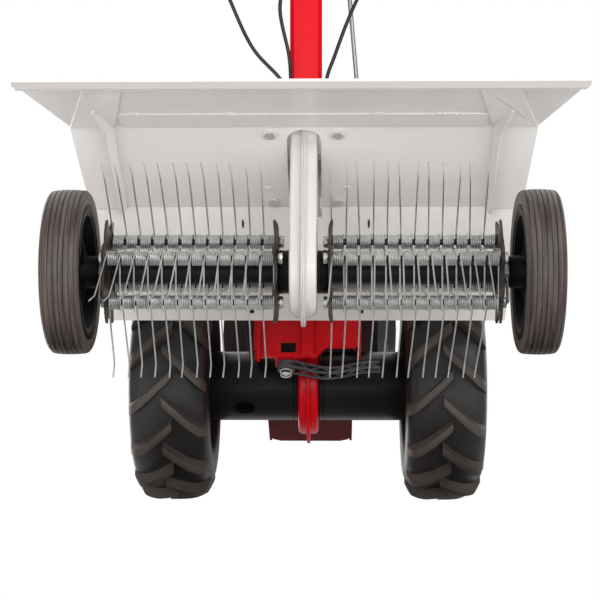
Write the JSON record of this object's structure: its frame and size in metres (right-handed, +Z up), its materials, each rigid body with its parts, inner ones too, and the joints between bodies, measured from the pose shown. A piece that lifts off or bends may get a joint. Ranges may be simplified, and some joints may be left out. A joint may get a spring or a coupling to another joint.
{
  "type": "lawn scarifier",
  "caption": "Walk-behind lawn scarifier: a red power unit on lugged tyres carries a white-hooded spring-tine rotor between grooved depth wheels.",
  "frame": {"origin": "the middle of the bounding box at floor level", "axes": "+X to the operator's right, +Y in the direction of travel, +Z up"},
  "size_m": [0.634, 1.3704, 1.029],
  "materials": {
    "white_paint": "semi-gloss white paint",
    "red_paint": "glossy red paint",
    "dark_red_paint": "satin dark red paint",
    "black_paint": "satin black paint",
    "dark_steel": "thin dark coating on steel",
    "zinc_steel": "bright zinc plating",
    "plain_steel": "turned steel",
    "tyre_rubber": "dusty black rubber",
    "grip_rubber": "matt black rubber",
    "black_plastic": "fine-grained black plastic",
    "cast_aluminium": "sand-cast aluminium",
    "exhaust_black": "heat-proof matt black"
  },
  "bodies": {
    "machine": {"hood": "white_paint", "hood_rail_left": "white_paint", "hood_rail_right": "white_paint", "gear_head": "white_paint", "chain_case_left": "white_paint", "chain_case_right": "white_paint", "hitch_bracket": "red_paint", "drive_case_left": "red_paint", "drive_case_right": "red_paint", "mast": "red_paint", "engine_bed": "dark_red_paint", "rotor_bearing_left": "black_paint", "rotor_bearing_right": "black_paint", "axle_tube_left": "black_paint", "axle_tube_right": "black_paint", "handlebar": "black_paint", "bracket_plate": "zinc_steel", "hitch_pin": "zinc_steel", "drive_chain": "plain_steel", "grip_left": "grip_rubber", "grip_right": "grip_rubber", "fan_cover": "black_plastic", "fuel_tank": "black_plastic", "air_filter": "black_plastic", "clutch_cable": "black_plastic", "drive_cable": "black_plastic", "throttle_cable": "black_plastic", "engine_block": "cast_aluminium", "muffler": "exhaust_black"},
    "rotor": {"rotor_shaft": "plain_steel", "rotor_frame_left": "dark_steel", "rotor_frame_right": "dark_steel", "tine_row_left_1": "zinc_steel", "tine_row_left_2": "zinc_steel", "tine_row_left_3": "zinc_steel", "tine_row_left_4": "zinc_steel", "tine_row_right_1": "zinc_steel", "tine_row_right_2": "zinc_steel", "tine_row_right_3": "zinc_steel", "tine_row_right_4": "zinc_steel", "lower_sprocket": "plain_steel", "retaining_clip_left": "zinc_steel", "retaining_clip_right": "zinc_steel"},
    "depth_wheel_left": {"depth_tyre_left": "tyre_rubber", "depth_rim_left": "black_plastic"},
    "depth_wheel_right": {"depth_tyre_right": "tyre_rubber", "depth_rim_right": "black_plastic"},
    "upper_sprocket": {"upper_sprocket": "plain_steel"},
    "drive_axle": {"axle_shaft": "plain_steel", "drive_tyre_left": "tyre_rubber", "drive_tyre_right": "tyre_rubber", "drive_rim_left": "dark_red_paint", "drive_rim_right": "dark_red_paint"},
    "hitch_lever": {"hitch_lever": "black_plastic"},
    "clutch_lever": {"clutch_lever": "black_plastic"},
    "drive_lever": {"drive_lever": "black_plastic"},
    "throttle_lever": {"throttle_lever": "black_plastic"},
    "starter_handle": {"starter_handle": "black_plastic"},
    "fuel_cap": {"fuel_cap": "black_plastic"},
    "shift_rod": {"shift_rod": "plain_steel"}
  },
  "joints": [
    {"name": "rotor_spin", "type": "hinge", "parent": "machine", "child": "rotor", "pos_m": [0, -0.04225, 0.1], "axis": [1, 0, 0], "continuous": true},
    {"name": "depth_wheel_left_spin", "type": "hinge", "parent": "machine", "child": "depth_wheel_left", "pos_m": [-0.2825, -0.04225, 0.1], "axis": [1, 0, 0], "continuous": true},
    {"name": "depth_wheel_right_spin", "type": "hinge", "parent": "machine", "child": "depth_wheel_right", "pos_m": [0.2825, -0.04225, 0.1], "axis": [1, 0, 0], "continuous": true},
    {"name": "upper_sprocket_spin", "type": "hinge", "parent": "machine", "child": "upper_sprocket", "pos_m": [0, -0.05825, 0.292], "axis": [1, 0, 0], "continuous": true},
    {"name": "drive_axle_spin", "type": "hinge", "parent": "machine", "child": "drive_axle", "pos_m": [0, 0.38975, 0.165], "axis": [1, 0, 0], "continuous": true},
    {"name": "hitch_lever_turn", "type": "hinge", "parent": "machine", "child": "hitch_lever", "pos_m": [-0.03, 0.27675, 0.144], "axis": [0, 0, -1], "range_deg": [0, 80]},
    {"name": "clutch_lever_squeeze", "type": "hinge", "parent": "machine", "child": "clutch_lever", "pos_m": [-0.27, -0.49725, 0.9605], "axis": [-1, 0, 0], "range_deg": [0, 11], "stiffness_Nm_per_rad": 0.6, "springref_deg": -11.46},
    {"name": "drive_lever_squeeze", "type": "hinge", "parent": "machine", "child": "drive_lever", "pos_m": [0.27, -0.49725, 0.9605], "axis": [-1, 0, 0], "range_deg": [0, 11], "stiffness_Nm_per_rad": 0.6, "springref_deg": -11.46},
    {"name": "throttle_lever_turn", "type": "hinge", "parent": "machine", "child": "throttle_lever", "pos_m": [0.2828, -0.53425, 0.985], "axis": [1, 0, 0], "range_deg": [-30, 40]},
    {"name": "starter_pull", "type": "slide", "parent": "machine", "child": "starter_handle", "axis": [0, -0.9063, 0.4226], "range_m": [0, 0.07], "stiffness_N_per_m": 60, "springref_m": -0.05},
    {"name": "fuel_cap_turn", "type": "hinge", "parent": "machine", "child": "fuel_cap", "pos_m": [0.045, 0.58525, 0.561], "axis": [0, 0, 1], "range_deg": [0, 90]},
    {"name": "shift_rod_slide", "type": "slide", "parent": "machine", "child": "shift_rod", "axis": [-0.0848, -0.4982, 0.8629], "range_m": [-0.01, 0.012]}
  ],
  "couplings": [
    {"joint": "upper_sprocket_spin", "follows": "rotor_spin", "ratio": 1.2727}
  ]
}
